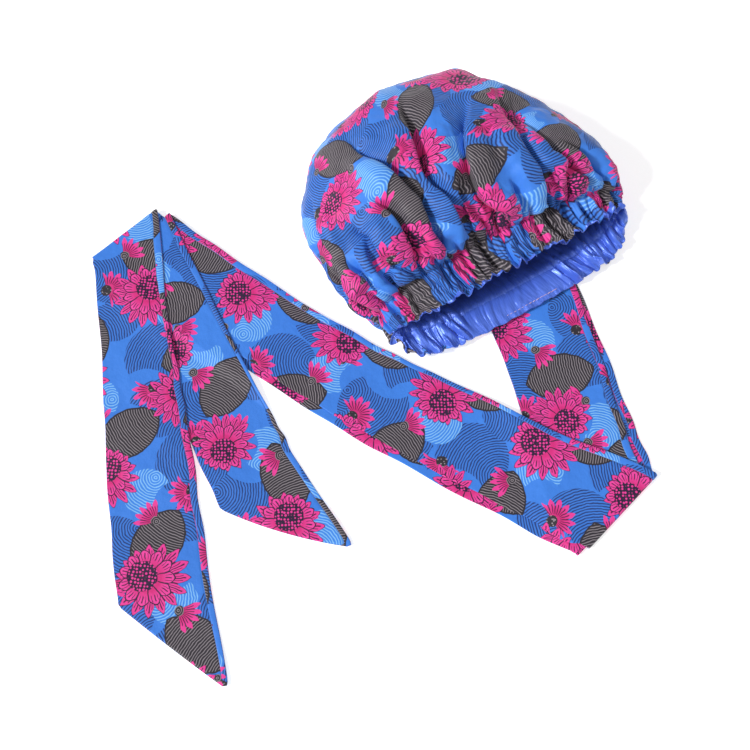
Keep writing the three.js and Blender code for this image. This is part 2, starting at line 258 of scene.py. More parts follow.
def pinches(seed, pinch, most=9.0):
    """Deep narrow creases that cross the casing at some of the pinches. Depth in mm."""
    r = np.random.default_rng(seed)
    n = len(pinch)
    deep = most * np.clip(r.uniform(-0.5, 1, n), 0, 1)
    wide = r.uniform(1.1, 2.5, n)
    lean = r.normal(0, 0.12, n)
    low, high = r.uniform(-0.01, 0.012, n), r.uniform(0.09, 0.15, n)

    def value(w, s):
        d = np.zeros(np.broadcast(w, s).shape)
        for k in range(n):
            if deep[k] > 0:
                x = np.mod(w - pinch[k] - lean[k] * (s - 0.05) + 0.5, 1) - 0.5
                ends = np.clip((s - low[k]) / 0.02, 0, 1) * np.clip((high[k] - s) / 0.05, 0, 1)
                d = d + deep[k] * ends * np.exp(-np.abs(x * RIM / wide[k]) ** 1.4)
        return d

    return value


BODY_AT = ramp([0, 0.004, 0.012, 0.02, 0.035, 0.05, 0.065, 0.078, 0.086, 0.1, 0.13, 0.17, 0.24, 0.32, 1], [-1.0, -0.2, 0.3, 0.4, 1.6, 2.0, 1.3, -0.9, -3.0, 1.2, 3.4, 2.9, 1.1, 0, 0])
SMOOTH_FROM, SMOOTH_TO = 251.0, 283.0  # the stretch of the back rim that isn't gathered


def slack(turn):
    """1 where the rim is gathered, less along the stretch where the tie is sewn on."""
    t = np.mod(turn, 360)
    near = np.clip(np.minimum(t - SMOOTH_FROM, SMOOTH_TO - t) / 4, 0, 1)
    return 1 - 0.82 * near


def long_folds(w, s):
    """The long folds: their depth and how far their lips slip sideways, mm."""
    turn = turn_of(w)
    per = np.linalg.norm(plain(turn + 0.5, s) - plain(turn - 0.5, s), axis=-1)
    t = np.mod(turn, 360)
    d, slip = np.zeros(t.shape), np.zeros(t.shape)
    for points, deep, side in FOLDS:
        q, deep = np.array(points), 1.45 * deep
        first, last = q[0, 0], q[-1, 0]
        x = (t - curve(q[:, 0], q[:, 1])(np.clip(s, first, last))) * per
        up = np.clip((s - first) / 0.13, 0, 1) ** 0.8
        down = np.clip((last - s) / (0.4 * (last - first)), 0, 1)
        fade = up * down * down * (3 - 2 * down)
        g, l = over(x, side, 2.3 + 0.06 * deep, 3.5 + 0.5 * deep)
        d, slip = d + deep * fade * g, slip + 0.5 * deep * fade * l
    return d, slip


# how much further in (-) or out (+) the cloth lies at places on the outline as seen from above: turn, s, mm
TRIM = np.array([
    (194, 0.16, -2.6), (190, 0.24, -2.6), (184, 0.32, -2.5), (182, 0.40, -2.6), (181, 0.46, -1.2), (180, 0.51, 5.0), (178, 0.55, 0.6), (176, 0.58, -0.8), (173, 0.64, -2.4),
    (170, 0.68, -2.6), (167, 0.73, -0.4), (164, 0.78, -4.4), (156, 0.84, -4.8), (154, 0.90, -3.4), (134, 0.92, -2.6), (118, 0.94, -3.8),
    (100, 0.96, -1.8), (74, 0.96, 2.2), (58, 0.95, -4.2), (46, 0.93, -9.6), (36, 0.905, -9.0), (30, 0.86, -2.6), (28, 0.84, -2.4),
    (26, 0.74, -2.4), (24, 0.66, -2.0), (22, 0.54, -2.4), (14, 0.38, -2.2),
])
TRIM_AT = plain(TRIM[:, 0], TRIM[:, 1])


def trim(base):
    """The cloth's further way in or out, mm, near the places in TRIM."""
    top, all_ = np.zeros(base.shape[:-1]), np.zeros(base.shape[:-1])
    for at, mm in zip(TRIM_AT, TRIM[:, 2]):
        g = np.exp(-((base - at) ** 2).sum(-1) / 14.0**2)
        top, all_ = top + mm * g, all_ + g
    return top / np.maximum(all_, 1)


N_BIG, N_SMALL, N_FINE = waves(3, 75), waves(4, 30), waves(5, 13)
CREASE = creases(17, G_FINE.pinch)
PINCH = pinches(19, G_FINE.pinch, 11.0)
PINCH_IN = pinches(23, G_IN.pinch, 7.5)


def folded(w, s, base):
    """How far the cap's outer face stands off the smooth face and how far it slips sideways round it, mm."""
    turn = turn_of(w)
    sl = slack(turn)
    under = np.clip(-np.sin(np.radians(turn)) * 3, 0, 1)
    fine, _ = G_FINE(w, s)
    tiny, _ = G_TINY(w, s)
    mid, _ = G_MID(w, s)
    wide, _ = G_WIDE(w, s)
    away = np.clip((s - 0.1) / 0.12, 0, 1) * np.clip((1 - s) / 0.12, 0, 1)
    rough = away * (1.3 * N_BIG(base) + 0.9 * N_SMALL(base)) + 0.34 * N_FINE(base) * np.clip((s - 0.05) / 0.1, 0, 1)
    d1, l1 = long_folds(w, s)
    d2, l2 = CREASE(w, s)
    k1, k2 = 1 - 0.6 * under, (1 - 0.6 * under) * (0.4 + 0.6 * sl)
    off = (
        BODY_AT(s)
        - 4.0 * np.exp(-(((turn - 178) / 15) ** 2)) * np.interp(s, [0.09, 0.15, 0.33, 0.4], [0, 1, 1, 0])
        + trim(base)
        + sl * FINE_AT(s) * (2 * fine - 1.1)
        + sl * FINE_AT(s) * 0.22 * (2 * tiny - 1)
        + MID_AT(s) * (2 * mid - 1.2) * (1 - 0.5 * under)
        + WIDE_AT(s) * (2 * wide - 1.3) * (0.35 + 0.1 * under)
        - d1 * k1
        - d2 * k2
        - sl * PINCH(w, s)
        + rough
    )
    return off, l1 * k1 + l2 * k2


def inner_face(w, s):
    """How far the satin stands off the smooth face near the rim, mm."""
    sl = slack(turn_of(w))
    inn, _ = G_IN(w, s)
    tiny, _ = G_TINY(w, s)
    body = np.interp(s, [0, 0.004, 0.012, 0.02, 0.035, 0.05, 0.065, 0.078, 0.085, 0.12], [-1.2, -2.0, -2.5, -2.7, -3.7, -4.0, -4.0, -4.0, -4.2, -4.6])
    amp = np.interp(s, [0, 0.012, 0.03, 0.06, 0.085, 0.12, 0.17], [0.8, 3.0, 4.4, 4.8, 4.8, 5.2, 4.2])
    return body - sl * amp * (1.7 * inn - 0.6) - 0.25 * sl * (2 * tiny - 1) + sl * 0.35 * PINCH_IN(w, s)


def round_way(w, s):
    """Unit vectors along the sections, towards greater w."""
    k = 0.003
    a = plain(turn_of(np.clip(w + k, 0, 1)), s) - plain(turn_of(np.clip(w - k, 0, 1)), s)
    return a / np.maximum(np.linalg.norm(a, axis=-1, keepdims=True), 1e-9)


# ---------------------------------------------------------------- meshes
def mesh_object(name, points, faces, uvs, materials, index=None, smooth=True):
    """points in table millimetres, faces as quads or triangles, uvs one pair for each corner in metres."""
    me = bpy.data.meshes.new(name)
    me.from_pydata(((np.asarray(points) + SHIFT) * MM).tolist(), [], faces)
    layer = me.uv_layers.new(name="cloth")
    layer.data.foreach_set("uv", np.asarray(uvs, np.float32).ravel())
    for m in materials:
        me.materials.append(m)
    if index is not None:
        me.polygons.foreach_set("material_index", np.asarray(index, np.int32))
    me.polygons.foreach_set("use_smooth", np.full(len(me.polygons), smooth))
    me.update()
    ob = bpy.data.objects.new(name, me)
    bpy.context.scene.collection.objects.link(ob)
    return ob


def grid_faces(rows, cols, start=0, wrap_rows=False, flip=False):
    """Quads of a grid closed across its columns: vertex ids and ids into a uv grid of cols + 1."""
    r = np.arange(rows if wrap_rows else rows - 1)
    i, j = np.meshgrid(r, np.arange(cols), indexing="ij")
    i, j = i.ravel(), j.ravel()
    i2 = (i + 1) % rows
    i2u = i + 1
    j2 = (j + 1) % cols
    v = np.stack([i * cols + j, i * cols + j2, i2 * cols + j2, i2 * cols + j], 1) + start
    u = np.stack([i * (cols + 1) + j, i * (cols + 1) + j + 1, i2u * (cols + 1) + j + 1, i2u * (cols + 1) + j], 1)
    if flip:
        v, u = v[:, ::-1], u[:, ::-1]
    return v, u


def vertex_normals(p):
    """Normals of a grid [rows, cols] closed across its columns, towards rows x columns."""
    a = np.roll(p, -1, 1) - np.roll(p, 1, 1)
    b = np.gradient(p, axis=0)
    n = np.cross(b, a)
    return n / np.maximum(np.linalg.norm(n, axis=-1, keepdims=True), 1e-9)


def bag(name, outer, uv, thick, materials, skip=3):
    """A closed thin shell from a grid of its seen face [rows, cols], row 0 at the rim and the last at the pole. The hidden face, thick mm behind it, has fewer rows."""
    rows, cols = outer.shape[:2]
    keep = np.unique(np.concatenate([[0], np.arange(0, rows, skip), [rows - 1]]))
    hidden = outer - vertex_normals(outer) * thick
    if thick > 0:
        hidden[..., 2] = np.maximum(hidden[..., 2], outer[..., 2].min() + 0.2)
    hidden = hidden[keep]
    flip = thick < 0
    v1, u1 = grid_faces(rows, cols)
    v2, u2 = grid_faces(len(keep), cols, rows * cols, flip=True)
    n = rows * cols
    n2 = n + len(keep) * cols
    points = np.concatenate([outer.reshape(-1, 3), hidden.reshape(-1, 3), [outer[-1].mean(0)], [hidden[-1].mean(0)]])
    j = np.arange(cols)
    k = (j + 1) % cols
    rim_v = np.stack([j, n + j, n + k, k], 1)
    rim_u = np.stack([j, j, j + 1, j + 1], 1)
    last, last2 = (rows - 1) * cols, n + (len(keep) - 1) * cols
    lastu = (rows - 1) * (cols + 1)
    fan1 = np.stack([last + j, last + k, np.full(cols, n2)], 1)
    fan2 = np.stack([last2 + k, last2 + j, np.full(cols, n2 + 1)], 1)
    flat, flat2 = uv.reshape(-1, 2), uv[keep].reshape(-1, 2)
    fu = np.stack([lastu + j, lastu + j + 1, lastu + j], 1)
    faces, uvs = [], []
    for v, f in ((v1, flat[u1]), (v2, flat2[u2]), (rim_v, flat[rim_u]), (fan1, flat[fu]), (fan2, flat[fu[:, [1, 0, 2]]])):
        if flip:
            v, f = v[:, ::-1], f[:, ::-1]
        faces += v.tolist()
        uvs.append(f.reshape(-1, 2))
    return mesh_object(name, points, faces, np.concatenate(uvs), materials)


# ---------------------------------------------------------------- nodes
class S:
    """A socket, or a number, with arithmetic that makes Math nodes."""

    def __init__(self, tree, sock):
        self.tree, self.sock = tree, sock

    def __add__(self, o): return m(self.tree, "ADD", self, o)
    def __radd__(self, o): return m(self.tree, "ADD", o, self)
    def __sub__(self, o): return m(self.tree, "SUBTRACT", self, o)
    def __rsub__(self, o): return m(self.tree, "SUBTRACT", o, self)
    def __mul__(self, o): return m(self.tree, "MULTIPLY", self, o)
    def __rmul__(self, o): return m(self.tree, "MULTIPLY", o, self)
    def __truediv__(self, o): return m(self.tree, "DIVIDE", self, o)
    def __pow__(self, o): return m(self.tree, "POWER", self, o)
    def __abs__(self): return m(self.tree, "ABSOLUTE", self)


def put(tree, value, socket):
    if isinstance(value, S):
        tree.links.new(value.sock, socket)
    else:
        socket.default_value = value


def m(tree, op, a, b=None, c=None, clamp=False):
    n = tree.nodes.new("ShaderNodeMath")
    n.operation = op
    n.use_clamp = clamp
    for i, v in enumerate((a, b, c)):
        if v is not None:
            put(tree, v, n.inputs[i])
    return S(tree, n.outputs[0])


def step(x, at, wide=0.35):
    """0 below at, 1 above, with a soft edge."""
    return m(x.tree, "MULTIPLY_ADD", x, 1 / wide, -at / wide + 0.5, clamp=True)


def below(x, limit, wide=0.35):
    """1 where x is under limit, which may be a socket."""
    d = limit - x
    return m(x.tree, "MULTIPLY_ADD", d, 1 / wide, 0.5, clamp=True)


def low(a, b): return m(a.tree, "MINIMUM", a, b)
def high(a, b): return m(a.tree, "MAXIMUM", a, b)
def fract(a): return m(a.tree, "FRACT", a)


def mix(tree, f, a, b):
    n = tree.nodes.new("ShaderNodeMix")
    n.data_type = "RGBA"
    put(tree, f, n.inputs[0])
    for v, s in ((a, n.inputs[6]), (b, n.inputs[7])):
        put(tree, v if isinstance(v, S) else (*v, 1), s)
    return S(tree, n.outputs[2])


def combine(tree, x, y, z=0.0):
    n = tree.nodes.new("ShaderNodeCombineXYZ")
    for v, s in zip((x, y, z), n.inputs):
        put(tree, v, s)
    return S(tree, n.outputs[0])


def separate(tree, v):
    n = tree.nodes.new("ShaderNodeSeparateXYZ")
    tree.links.new(v.sock, n.inputs[0])
    return [S(tree, o) for o in n.outputs]


def noise(tree, vector, scale, detail=2.0, rough=0.5):
    n = tree.nodes.new("ShaderNodeTexNoise")
    n.noise_dimensions = "3D"
    tree.links.new(vector.sock, n.inputs["Vector"])
    n.inputs["Scale"].default_value = scale
    n.inputs["Detail"].default_value = detail
    n.inputs["Roughness"].default_value = rough
    return S(tree, n.outputs["Fac"])


def cell(tree, x, y, px, py, ox, oy, seed, shift=0.5, jitter=10.0, spin=1.0, base=0.0):
    """Splits the cloth into cells and gives each point's place in its cell's own turned frame, and a random number of the cell."""
    yj = (y + oy) / py
    j = m(tree, "FLOOR", yj)
    xi = (x + ox) / px + j * shift
    i = m(tree, "FLOOR", xi)
    n = tree.nodes.new("ShaderNodeTexWhiteNoise")
    n.noise_dimensions = "3D"
    tree.links.new(combine(tree, i, j, float(seed)).sock, n.inputs["Vector"])
    r1, r2, r3 = separate(tree, S(tree, n.outputs["Color"]))
    lx = (xi - i - 0.5) * px + (r1 - 0.5) * jitter
    ly = (yj - j - 0.5) * py + (r2 - 0.5) * jitter
    a = r3 * (2 * math.pi * spin) + base
    c, s = m(tree, "COSINE", a), m(tree, "SINE", a)
    return lx * c + ly * s, ly * c - lx * s, S(tree, n.outputs["Value"])


def hypot(x, y):
    return m(x.tree, "SQRT", x * x + y * y)


def petals(x, y, count, phase=0.0):
    """Radius and how far off the middle of its petal a point is, 0 to 1."""
    a = m(x.tree, "ARCTAN2", y, x)
    f = fract(a * (count / (2 * math.pi)) + phase)
    return abs(f - 0.5) * 2


PINK, PINK_LOW = (0.86, 0.047, 0.33), (0.70, 0.022, 0.21)
PLUM = (0.024, 0.006, 0.040)
GROUND, GROUND_LOW = (0.050, 0.245, 0.83), (0.038, 0.19, 0.70)
NAVY = (0.010, 0.030, 0.15)
COAL, COAL_LINE = (0.026, 0.021, 0.030), (0.32, 0.28, 0.31)
PALE = (0.25, 0.56, 0.95)


def print_colour(tree):
    """A cloth print of rosettes, half rosettes, leaves and shells of fine arcs, in the flat cloth's millimetres."""
    uv = tree.nodes.new("ShaderNodeUVMap")
    uv.uv_map = "cloth"
    scaled = tree.nodes.new("ShaderNodeVectorMath")
    scaled.operation = "SCALE"
    tree.links.new(uv.outputs[0], scaled.inputs[0])
    scaled.inputs["Scale"].default_value = 1000.0
    v = S(tree, scaled.outputs[0])
    x, y, _ = separate(tree, v)
    wob = noise(tree, v, 0.16, 1.0)
    x = x + (wob - 0.5) * 2.2
    y = y + (noise(tree, combine(tree, y, x, 9.0), 0.14, 1.0) - 0.5) * 2.2
    px, py = 100.0, 87.0

    def shell(seed, ox, oy, r, colour_line, colour_body, pitch, duty, under, reach=0.9, jitter=14.0, bite=0.22):
        """A shell: a disc cut by a second one, filled with arcs."""
        lx, ly, rnd = cell(tree, x, y, px, py, ox, oy, seed, jitter=jitter)
        d = hypot(lx, ly)
        arc = hypot(lx, ly + r * reach)
        side = hypot(lx - r * 1.25, ly + r * bite)
        inside = below(d, r, 0.4) * step(side, r * 0.85, 0.4)
        line = below(abs(fract(arc / pitch) - 0.5) * 2, duty, 0.5)
        body = mix(tree, line, colour_body, colour_line)
        return mix(tree, inside, under, body)

    base = mix(tree, noise(tree, v, 0.02, 2.0), GROUND_LOW, GROUND)
    col = shell(3, 20, 60, 33, NAVY, (0.043, 0.20, 0.71), 2.45, 0.42, base)
    col = shell(4, 78, 20, 28, NAVY, (0.043, 0.20, 0.71), 2.45, 0.42, col, reach=1.3, bite=-0.3)
    col = shell(5, 30, 8, 21, PALE, (0.045, 0.24, 0.80), 2.4, 0.36, col, reach=0.7)

    # broad leaves: two discs' common part, with pale arcs
    lx, ly, rnd = cell(tree, x, y, px, py, 54, 44, 6, jitter=12)
    one, two = hypot(lx - 14, ly), hypot(lx + 14, ly)
    inside = below(high(one, two), 36, 0.4)
    arc = hypot(lx, ly + 62)
    line = below(abs(fract(arc / 2.25) - 0.5) * 2, 0.26, 0.4) * below(high(one, two), 34.5, 0.4)
    col = mix(tree, inside, col, mix(tree, line, COAL, COAL_LINE))

    # half rosettes
    lx, ly, rnd = cell(tree, x, y, px, py, 20, 84, 7, jitter=12)
    r = hypot(lx, ly)
    d = petals(lx, ly, 13)
    front = step(lx, -1.5, 0.6)
    tip = 19 - 7.0 * d ** 1.4
    inside = below(r, tip, 0.5) * front
    vein = high(step(d, 0.80, 0.12), below(d, 0.16, 0.1) * below(r, 14, 1.0)) * step(r, 5, 1.0)
    petal = mix(tree, vein * 0.92, mix(tree, below(r, 11, 6), PINK, PINK_LOW), PLUM)
    col = mix(tree, inside, col, petal)
    knob = below(hypot(lx + 2.5, ly), 5.2, 0.5)
    vor = tree.nodes.new("ShaderNodeTexVoronoi")
    vor.inputs["Scale"].default_value = 1 / 2.3
    tree.links.new(v.sock, vor.inputs["Vector"])
    dots_small = below(S(tree, vor.outputs["Distance"]), 0.30, 0.12)
    col = mix(tree, knob, col, mix(tree, dots_small, COAL, COAL_LINE))

    # small fans of five petals
    for seed, ox, oy in ((9, 62, 76), (10, 34, 30)):
        lx, ly, rnd = cell(tree, x, y, px, py, ox, oy, seed, jitter=16)
        r = hypot(lx + 9, ly)
        a = m(tree, "ARCTAN2", ly, lx + 9)
        d = abs(fract(a * 2.6 + 0.5) - 0.5) * 2
        front = below(abs(a), 0.96, 0.05)
        inside = below(r, 20 - 6.5 * d ** 1.5, 0.5) * front
        vein = high(step(d, 0.78, 0.12), below(d, 0.16, 0.1) * below(r, 14, 1.0))
        heel = below(hypot(lx + 8, ly), 4.2, 0.5)
        col = mix(tree, inside, col, mix(tree, vein * 0.92, mix(tree, below(r, 11, 6), PINK, PINK_LOW), PLUM))
        col = mix(tree, heel, col, mix(tree, below(abs(fract(r / 1.9) - 0.5) * 2, 0.3, 0.4), COAL, COAL_LINE))

    # full rosettes
    lx, ly, rnd = cell(tree, x, y, px, py, 0, 0, 8, jitter=10)
    size = 0.73 + rnd * 0.18
    lx, ly = lx / size, ly / size
    r = hypot(lx, ly * 1.12)
    d = petals(lx, ly, 15)
    tip = 38 - 12.5 * d ** 1.3
    col = mix(tree, below(r, tip + 0.9, 0.5), col, PLUM)
    vein = high(step(d, 0.84, 0.1), high(below(d, 0.10, 0.07), below(abs(d - 0.42), 0.06, 0.06) * below(r, 31, 1.0)) * below(r, 34, 1.0))
    petal = mix(tree, vein * 0.95, PINK, PLUM)
    col = mix(tree, below(r, tip, 0.5), col, petal)
    cx, cy = lx + 3.0, ly + 5.0
    r2 = hypot(cx, cy)
    d2 = petals(cx, cy, 11, 0.31)
    tip2 = 27 - 6.5 * d2 ** 1.5
    col = mix(tree, below(r2, tip2 + 1.3, 0.5), col, PLUM)
    vein2 = high(step(d2, 0.86, 0.08), high(below(d2, 0.09, 0.06), below(abs(d2 - 0.46), 0.05, 0.05)) * step(r2, 18, 2.0) * below(r2, 24.5, 1.0))
    petal2 = mix(tree, vein2 * 0.95, mix(tree, below(r2, 18, 9), (0.90, 0.060, 0.37), PINK_LOW), PLUM)
    col = mix(tree, below(r2, tip2, 0.5), col, petal2)
    seed = below(hypot(cx + 2.5, cy + 4.0), 15.0, 0.6)
    vor = tree.nodes.new("ShaderNodeTexVoronoi")
    vor.inputs["Scale"].default_value = 1 / 2.9
    vor.inputs["Randomness"].default_value = 0.4
    tree.links.new(v.sock, vor.inputs["Vector"])
    dots = below(S(tree, vor.outputs["Distance"]), 0.37, 0.1)
    col = mix(tree, seed, col, mix(tree, dots, PLUM, PINK))
    return col, v


def principled(name):
    mat = bpy.data.materials.new(name)
    mat.use_nodes = True
    tree = mat.node_tree
    bsdf = tree.nodes["Principled BSDF"]
    return mat, tree, bsdf


def stretched(tree, v, sx, sy):
    n = tree.nodes.new("ShaderNodeVectorMath")
    n.operation = "MULTIPLY"
    tree.links.new(v.sock, n.inputs[0])
    n.inputs[1].default_value = (sx, sy, 1)
    return S(tree, n.outputs[0])


def bump(tree, height, distance, strength, normal=None):
    n = tree.nodes.new("ShaderNodeBump")
    n.inputs["Distance"].default_value = distance
    n.inputs["Strength"].default_value = strength
    tree.links.new(height.sock, n.inputs["Height"])
    if normal is not None:
        tree.links.new(normal.sock, n.inputs["Normal"])
    return S(tree, n.outputs[0])


def print_cloth():
    mat, tree, bsdf = principled("print_cloth")
    col, v = print_colour(tree)
    warp = noise(tree, stretched(tree, v, 0.25, 2.2), 1.0, 1.0)
    weft = noise(tree, stretched(tree, v, 2.2, 0.25), 1.0, 1.0)
    thread = warp * 0.5 + weft * 0.5
    shade = mix(tree, thread * 0.16, col, (0.0, 0.0, 0.0))
    tree.links.new(shade.sock, bsdf.inputs["Base Color"])
    rough = m(tree, "MULTIPLY_ADD", thread, 0.16, 0.50)
    tree.links.new(rough.sock, bsdf.inputs["Roughness"])
    bsdf.inputs["Sheen Weight"].default_value = 0.12
    bsdf.inputs["Sheen Roughness"].default_value = 0.5
    bsdf.inputs["Specular IOR Level"].default_value = 0.35
    crease = noise(tree, v, 0.055, 3.0, 0.55)
    n1 = bump(tree, crease, 0.004, 0.35)
    n2 = bump(tree, thread, 0.0003, 0.5, n1)
    tree.links.new(n2.sock, bsdf.inputs["Normal"])
    return mat


def satin_cloth(name, inside=False):
    """Glossy satin. The lining's own has painted shade: its colour gets darker away from the mouth, standing in for the
    shadow inside the cap.
    """
    mat, tree, bsdf = principled(name)
    uv = tree.nodes.new("ShaderNodeUVMap")
    uv.uv_map = "cloth"
    v = stretched(tree, S(tree, uv.outputs[0]), 1000.0, 1000.0)
    thread = noise(tree, stretched(tree, v, 2.4, 0.12), 1.0, 2.0)
    patch = noise(tree, v, 0.03, 2.0)
    col = mix(tree, patch, (0.066, 0.146, 0.67), (0.104, 0.220, 0.85))
    col = mix(tree, thread * 0.2, col, (0.02, 0.05, 0.38))
    if inside:
        _, along, _ = separate(tree, v)
        # painted shade: the lining goes dark blue away from the mouth, in place of the shadow under the cap's front lip
        col = mix(tree, m(tree, "MULTIPLY", step(along + (patch - 0.5) * 14, 9, 15), 0.72), col, (0.014, 0.028, 0.19))
    tree.links.new(col.sock, bsdf.inputs["Base Color"])
    rough = m(tree, "MULTIPLY_ADD", thread, 0.14, 0.29)
    tree.links.new(rough.sock, bsdf.inputs["Roughness"])
    bsdf.inputs["Sheen Weight"].default_value = 0.25
    bsdf.inputs["Sheen Roughness"].default_value = 0.35
    bsdf.inputs["Specular IOR Level"].default_value = 0.6
    bsdf.inputs["Metallic"].default_value = 0.25
    n1 = bump(tree, noise(tree, stretched(tree, v, 0.16, 0.05), 1.0, 3.0, 0.55), 0.003, 0.45)
    n2 = bump(tree, thread, 0.0003, 0.4, n1)
    tree.links.new(n2.sock, bsdf.inputs["Normal"])
    return mat


def thread_mat():
    mat, tree, bsdf = principled("stitch_thread")
    geo = tree.nodes.new("ShaderNodeTexCoord")
    v = S(tree, geo.outputs["Object"])
    f = noise(tree, v, 900.0, 2.0)
    col = mix(tree, f, (0.52, 0.36, 0.62), (0.80, 0.62, 0.72))
    tree.links.new(col.sock, bsdf.inputs["Base Color"])
    bsdf.inputs["Roughness"].default_value = 0.6
    n1 = bump(tree, f, 0.0003, 0.5)
    tree.links.new(n1.sock, bsdf.inputs["Normal"])
    return mat


PRINT, SATIN, THREAD = print_cloth(), satin_cloth("satin"), thread_mat()
# the lining's satin, with painted shade that darkens it inside the cap
SATIN_PAINTED_SHADE = satin_cloth("satin_inside_painted_shade", True)

# ---------------------------------------------------------------- the cap and its lining
def cloth_uv(w, s, ref=0.25):
    """Flat cloth coordinates in metres: along each section from the middle of the top, and along each line from the rim. Nearer the rim than ref they follow the lines."""
    P = plain(turn_of(w), s)
    du = np.linalg.norm(np.diff(P, axis=1), axis=-1)
    u = np.concatenate([np.zeros((len(P), 1)), np.cumsum(du, 1)], 1)
    mid = np.argmin(np.abs(turn_of(w[0]) - 90))
    u = u - u[:, mid : mid + 1]
    first = np.argmin(np.abs(s[:, 0] - ref))
    u[:first] = u[first]
    dv = np.linalg.norm(np.diff(P, axis=0), axis=-1)
    v = np.concatenate([np.zeros((1, P.shape[1])), np.cumsum(dv, 0)], 0)
    return u, v


def taken_up(P, base, reach=45.0):
    """How far the print is moved along each row by the cloth that its folds take up, mm, without what adds up over more than reach."""
    p, q = np.linalg.norm(np.diff(P, axis=1), axis=-1), np.linalg.norm(np.diff(base, axis=1), axis=-1)
    p = np.minimum(p, 6 * q)
    total = q.sum(1, keepdims=True)
    e = np.concatenate([np.zeros((len(p), 1)), np.cumsum(p - q * p.sum(1, keepdims=True) / total, 1)], 1)[:, :-1]
    f = np.fft.rfftfreq(e.shape[1], 1 / e.shape[1])[None]
    keep = 1 - np.exp(-((f * reach * 2 / total) ** 2))
    e = np.fft.irfft(np.fft.rfft(e, axis=1) * keep, e.shape[1], axis=1)
    return np.concatenate([e, e[:, :1]], 1)


def rows_of(first, last, count, dense=1.5):
    t = np.linspace(0, 1, count)
    return first + (last - first) * t ** dense


def build_cap():
    cols, rows = 600, 110
    w = np.broadcast_to(np.arange(cols + 1) / cols, (rows, cols + 1))
    s = np.broadcast_to(rows_of(0.084, 0.998, rows, 1.25)[:, None], (rows, cols + 1))
    base, n = plain(turn_of(w), s), normals(w, s)
    off, slip = folded(w, s, base)
    P = base + n * off[..., None] + round_way(w, s) * slip[..., None]
    P[..., 2] = np.maximum(P[..., 2], 0.3)
    u, v = cloth_uv(w, s)
    left = v[-1:] - v  # still to go to the pole
    round_ = 2 * math.pi * u / (u[:, -1:] - u[:, :1])
    middle = v[-1, np.argmin(np.abs(u[-1]))]
    k = np.clip((150 - left) / 110, 0, 1)
    k = k * k * (3 - 2 * k)
    flat_x = (1 - k) * (u * 1.22 + taken_up(P, base)) + k * 1.1 * left * np.sin(round_)
    flat_y = (1 - k) * v + k * (middle - left * np.cos(round_))
    uv = np.stack([flat_x + 61, flat_y * 1.05 + 17.0], -1) * MM
    return bag("cap_cloth", P[:, :cols], uv, 0.8, [PRINT])


def build_lining():
    cols, rows = 600, 92
    w = np.broadcast_to(np.arange(cols + 1) / cols, (rows, cols + 1))
    s = np.broadcast_to(rows_of(0.07, 0.985, rows, 1.5)[:, None], (rows, cols + 1))
    base, n = plain(turn_of(w), s), normals(w, s)
    off, slip = folded(w, s, base)
    sl = slack(turn_of(w))
    inn, _ = G_IN(w, s)
    wide, _ = G_LOBE(w, s)
    amp = np.interp(s, [0.07, 0.16, 0.24, 0.34], [5.0, 4.4, 2.0, 0])
    amp2 = np.interp(s, [0.08, 0.14, 0.25, 0.45, 0.7], [0, 6.0, 11.0, 8.0, 0])
    deeper = 0.9 * off - 3.6 - sl * amp * inn - amp2 * wide
    near = np.clip((s - 0.085) / 0.05, 0, 1)
    lined = inner_face(w, s) + (deeper - inner_face(w, s)) * near * near * (3 - 2 * near) + np.clip((0.079 - s) / 0.009, 0, 1) * 1.3
    lowest = off[:, :cols]
    for k in range(1, 8):
        lowest = np.minimum(lowest, np.minimum(np.roll(off[:, :cols], k, 1), np.roll(off[:, :cols], -k, 1)))
    lowest = np.concatenate([lowest, lowest[:, :1]], 1)
    lined = np.minimum(lined, (1 - near) * off + near * lowest - 1.7)
    P = base + n * lined[..., None] + round_way(w, s) * (slip * (1 - 0.8 * near))[..., None]
    P[..., 2] = np.maximum(P[..., 2], 2.2)
    u, v = cloth_uv(w, s)
    uv = np.stack([u, v], -1) * MM
    return bag("lining_cloth", P[:, :cols], uv, 0.6, [SATIN_PAINTED_SHADE])


